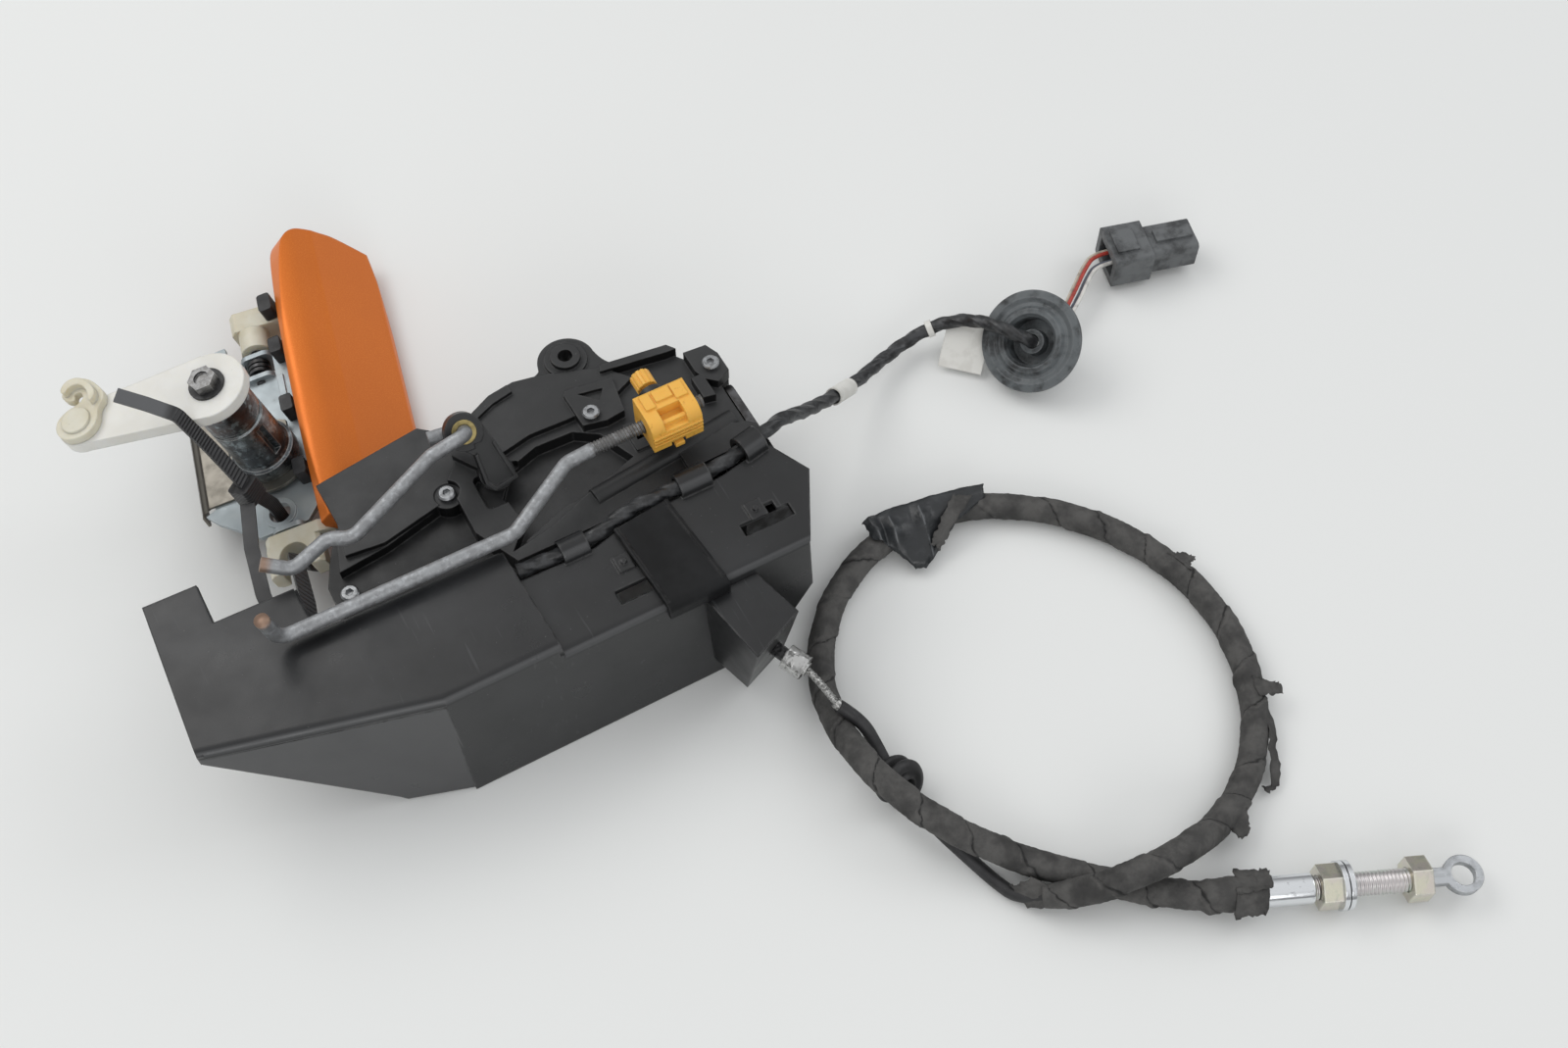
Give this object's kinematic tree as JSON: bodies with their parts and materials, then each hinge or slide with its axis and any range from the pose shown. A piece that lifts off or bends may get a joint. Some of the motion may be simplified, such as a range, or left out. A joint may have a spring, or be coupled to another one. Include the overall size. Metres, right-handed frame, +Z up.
{
  "type": "door latch actuator",
  "caption": "vehicle door latch actuator with motor lock, shielded case, painted outside handle with key barrel, wiring harness and release cable",
  "frame": {"origin": "centre of the face plate's three-bolt pattern, on the plate's outer face", "axes": "+X out of the face plate, +Y along the longest extent from the cable horn to the outside handle, +Z up from the table, along the shortest extent"},
  "size_m": [0.4215, 0.4266, 0.0861],
  "materials": {
    "black_moulding": "dusty moulded black, satin on edges",
    "case_black": "moulded black, fine grain",
    "zinc_steel": "zinc plated sheet, bluish",
    "dark_steel": "plain steel",
    "galvanised_wire": "galvanised, mottled grey",
    "amber_plastic": "amber yellow nylon",
    "white_nylon": "white nylon, slightly translucent",
    "cream_nylon": "aged cream nylon",
    "brass": "dull brass",
    "orange_paint": "metallic orange paint",
    "tarnished_cast": "tarnished zinc casting",
    "stainless": "bright stainless sheet",
    "rubber": "black rubber",
    "tape_cover": "wound charcoal tape",
    "label_paper": "bare printed-label stock",
    "wire_sleeve": "thin insulated wires",
    "chrome_tube": "bright plated",
    "passivated_zinc": "pale yellow passivated zinc"
  },
  "bodies": {
    "frame": {"case_base": "case_black", "case_cover": "case_black", "cover_screws": "zinc_steel", "shield": "black_moulding", "shield_lid": "black_moulding", "cable_box": "black_moulding", "face_plate": "zinc_steel", "latch_frame": "zinc_steel", "claw_pin": "dark_steel", "claw_spring": "dark_steel", "pawl_pin": "dark_steel", "pawl_spring": "dark_steel", "release_pin": "dark_steel", "lock_pin": "dark_steel", "lock_motor": "dark_steel", "wheel_pin": "dark_steel", "handle_bracket": "zinc_steel", "hinge_pins": "dark_steel", "handle_spring": "dark_steel", "handle_pads": "rubber", "lock_barrel": "tarnished_cast", "barrel_retainer": "stainless", "barrel_guard": "stainless", "cable_tie": "rubber", "tie_head": "rubber", "harness_cord": "tape_cover", "cord_labels": "label_paper", "door_grommet": "rubber", "wire_tails": "wire_sleeve", "connector": "black_moulding", "cable_stub": "chrome_tube", "inner_wire": "dark_steel", "cable_jacket": "rubber", "cable_wrap": "tape_cover", "cable_grommet": "rubber", "end_tube": "chrome_tube", "threaded_sleeve": "chrome_tube", "lock_nuts": "passivated_zinc", "washers": "chrome_tube"},
    "claw": {"claw": "dark_steel"},
    "pawl": {"pawl": "dark_steel"},
    "release_lever": {"release_lever": "case_black"},
    "release_rod": {"release_rod": "galvanised_wire", "rod_clip": "amber_plastic", "clip_button": "amber_plastic"},
    "lock_lever": {"lock_lever": "case_black", "brass_bush": "brass"},
    "lock_rod": {"lock_rod": "galvanised_wire"},
    "worm": {"motor_worm": "brass"},
    "wheel": {"worm_wheel": "white_nylon"},
    "handle": {"outer_handle": "orange_paint", "upper_arm": "cream_nylon", "lower_arm": "cream_nylon", "arm_buffer": "rubber"},
    "key": {"lock_plug": "tarnished_cast", "key_lever": "white_nylon", "lever_bolt": "dark_steel", "bolt_collar": "rubber", "lever_clip": "cream_nylon"},
    "eyelet": {"cable_eyelet": "chrome_tube"}
  },
  "joints": [
    {"name": "claw_turn", "type": "hinge", "parent": "frame", "child": "claw", "pos_m": [-0.012, -0.0105, 0], "axis": [1, 0, 0], "range_deg": [0, 54], "stiffness_Nm_per_rad": 0.002, "springref_deg": -17.19},
    {"name": "release_lever_turn", "type": "hinge", "parent": "frame", "child": "release_lever", "pos_m": [-0.032, 0.021, 0.02], "axis": [0, 1, 0], "range_deg": [-20, 0], "stiffness_Nm_per_rad": 0.02, "springref_deg": 34.38},
    {"name": "release_rod_swing", "type": "hinge", "parent": "release_lever", "child": "release_rod", "pos_m": [-0.032, 0.021, 0.041], "axis": [0, 1, 0], "range_deg": [0, 20]},
    {"name": "pawl_turn", "type": "hinge", "parent": "frame", "child": "pawl", "pos_m": [-0.012, 0.0155, -0.009], "axis": [-1, 0, 0], "range_deg": [0, 12]},
    {"name": "lock_lever_turn", "type": "hinge", "parent": "frame", "child": "lock_lever", "pos_m": [-0.0881, 0.028, 0.0253], "axis": [0, -0.7071, 0.7071], "range_deg": [-15, 15]},
    {"name": "lock_rod_swing", "type": "hinge", "parent": "lock_lever", "child": "lock_rod", "pos_m": [-0.0936, 0.04073, 0.03803], "axis": [0, -0.7071, 0.7071], "range_deg": [-15, 15]},
    {"name": "worm_wheel_turn", "type": "hinge", "parent": "frame", "child": "wheel", "pos_m": [-0.106, 0.0231, -0.001], "axis": [0, 0, 1], "range_deg": [-45, 45]},
    {"name": "motor_worm_turn", "type": "hinge", "parent": "frame", "child": "worm", "pos_m": [-0.106, 0.01, 0], "axis": [1, 0, 0], "range_deg": [-1080, 1080]},
    {"name": "handle_pull", "type": "hinge", "parent": "frame", "child": "handle", "pos_m": [-0.14537, 0.11874, -0.00127], "axis": [0.1994, 0.9799, 0], "range_deg": [0, 25], "stiffness_Nm_per_rad": 0.06, "springref_deg": -51.57},
    {"name": "key_turn", "type": "hinge", "parent": "frame", "child": "key", "pos_m": [-0.15651, 0.0904, 0.0196], "axis": [-0.1954, 0.0397, 0.9799], "range_deg": [-40, 10]},
    {"name": "eyelet_slide", "type": "slide", "parent": "frame", "child": "eyelet", "axis": [0.9143, -0.4051, 0], "range_m": [0, 0.012]}
  ],
  "couplings": [
    {"joint": "release_rod_swing", "follows": "release_lever_turn", "ratio": -1},
    {"joint": "pawl_turn", "follows": "release_lever_turn", "ratio": -0.6},
    {"joint": "lock_rod_swing", "follows": "lock_lever_turn", "ratio": -1},
    {"joint": "worm_wheel_turn", "follows": "lock_lever_turn", "ratio": 3},
    {"joint": "motor_worm_turn", "follows": "lock_lever_turn", "ratio": 72}
  ]
}
